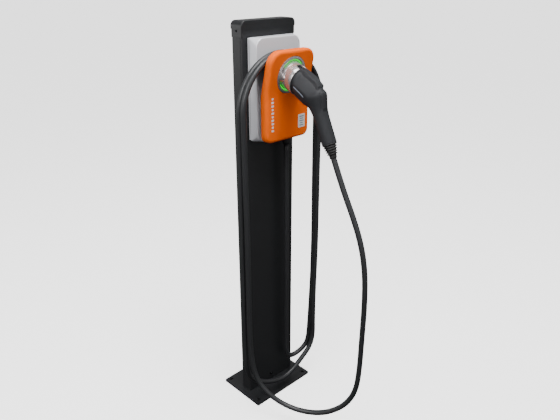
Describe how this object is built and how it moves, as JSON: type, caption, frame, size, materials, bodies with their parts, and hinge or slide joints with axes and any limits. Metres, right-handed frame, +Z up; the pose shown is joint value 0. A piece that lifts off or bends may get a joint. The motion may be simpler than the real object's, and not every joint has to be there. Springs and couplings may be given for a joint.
{
  "type": "ev charging post",
  "caption": "Charging post: flat steel column on a bolted base plate, wall-type charger on its front, leaning cover with a lit holster, hung cable and angled plug.",
  "frame": {"origin": "centre of the base plate's underside, on the ground", "axes": "+Z up along the column, -Y towards the person who faces the charger, +X to that person's right"},
  "size_m": [0.3343, 0.5148, 1.2585],
  "materials": {
    "bezel_silver": "silver grey moulding, satin",
    "board_green": "solder mask",
    "brass": "turned, plain",
    "cable_black": "extruded jacket, low gloss",
    "chip_black": "moulded package",
    "contact_silver": "silver plated",
    "led_green": "diffusing ring, lit green",
    "plastic_black": "moulded, satin",
    "plastic_cap": "moulded, satin",
    "plastic_grey": "moulded",
    "plastic_orange": "painted moulding, satin",
    "plastic_silver": "silver grey painted moulding, satin",
    "plug_black": "moulded, soft satin",
    "print_white": "thin printed film",
    "rubber_black": "moulded, matt",
    "screw_dark": "black oxide, low gloss",
    "steel_dark": "charcoal powder coat, fine texture",
    "steel_zinc": "zinc plated"
  },
  "bodies": {
    "post": {"base_plate": "steel_dark", "rear_channel": "steel_dark", "front_panel": "steel_dark", "panel_gaskets": "rubber_black", "foot_bracket": "steel_zinc", "foot_screw": "screw_dark", "top_cap": "plastic_cap", "cap_screws": "screw_dark", "din_rail": "steel_zinc", "supply_terminals": "plastic_grey", "supply_breaker": "plastic_grey", "earth_stud": "brass", "mounting_bars": "steel_zinc", "bar_spacers": "steel_zinc", "wall_bracket": "steel_zinc", "housing_back": "plastic_silver", "bracket_screws": "steel_zinc", "housing_front": "plastic_silver", "housing_gasket": "rubber_black", "control_board": "board_green", "board_parts": "chip_black", "board_spacers": "brass", "contactor": "plastic_grey", "power_supply": "chip_black", "residual_sensor": "chip_black", "charger_terminals": "plastic_grey", "gland_body": "plastic_black", "gland_locknut": "plastic_black", "gland_nut": "plastic_black", "cable_hook": "plastic_black", "hook_screws": "steel_zinc", "front_cover": "plastic_orange", "cover_back": "plastic_black", "holster_bezel": "bezel_silver", "light_ring": "led_green", "light_board": "board_green", "holster_sleeve": "bezel_silver", "holster_web": "bezel_silver", "park_seat": "plastic_black", "tally_marks": "print_white", "label_plate": "print_white", "hung_cable": "cable_black", "supply_lead": "cable_black", "panel_grommet": "rubber_black"},
    "plug": {"plug_shell_left": "plug_black", "plug_shell_right": "plug_black", "plug_screws": "screw_dark", "plug_nose": "plug_black", "contact_carrier": "plastic_black", "contact_sleeves": "contact_silver", "plug_boot": "rubber_black", "free_cable": "cable_black"}
  },
  "joints": [
    {"name": "plug_pull", "type": "slide", "parent": "post", "child": "plug", "axis": [0, -0.9272, -0.3746], "range_m": [0, 0.075]}
  ]
}
